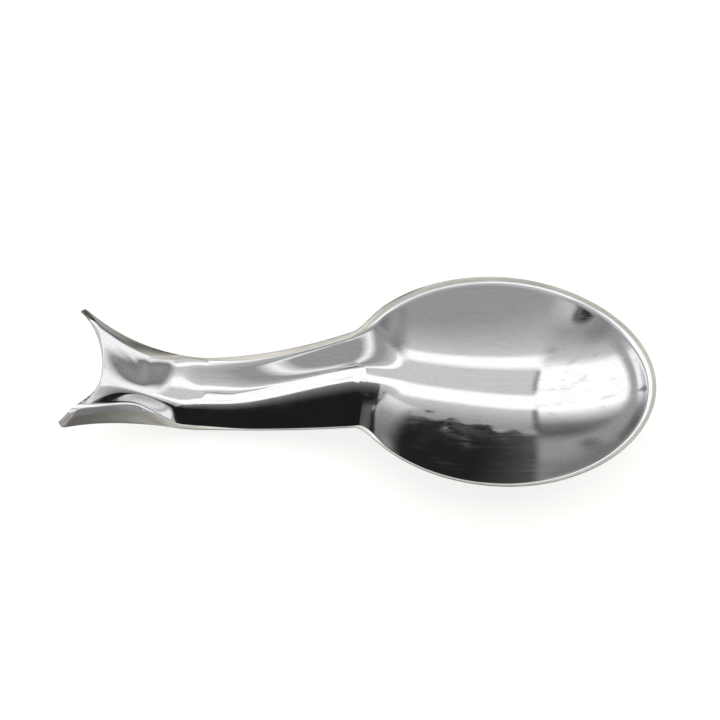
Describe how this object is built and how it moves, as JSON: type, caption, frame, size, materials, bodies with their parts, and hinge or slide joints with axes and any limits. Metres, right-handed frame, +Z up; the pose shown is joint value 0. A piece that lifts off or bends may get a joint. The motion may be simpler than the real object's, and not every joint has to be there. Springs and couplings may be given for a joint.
{
  "type": "spoon rest",
  "caption": "Spoon-shaped rest of polished pressed steel sheet: an oval bowl takes a spoon's head, a trough over the neck carries its handle, and the tail sweeps up into a fork.",
  "frame": {"origin": "on the table plane, under the middle of the part's length and width", "axes": "+X along the length from the forked tail to the bowl's tip, +Y across, +Z up from the table"},
  "size_m": [0.2343, 0.0994, 0.0295],
  "materials": {
    "polished_steel": "mirror polish, with a satin rim left by the press"
  },
  "bodies": {
    "root": {"bowl": "polished_steel", "neck": "polished_steel", "handle": "polished_steel", "tail": "polished_steel"}
  },
  "joints": []
}
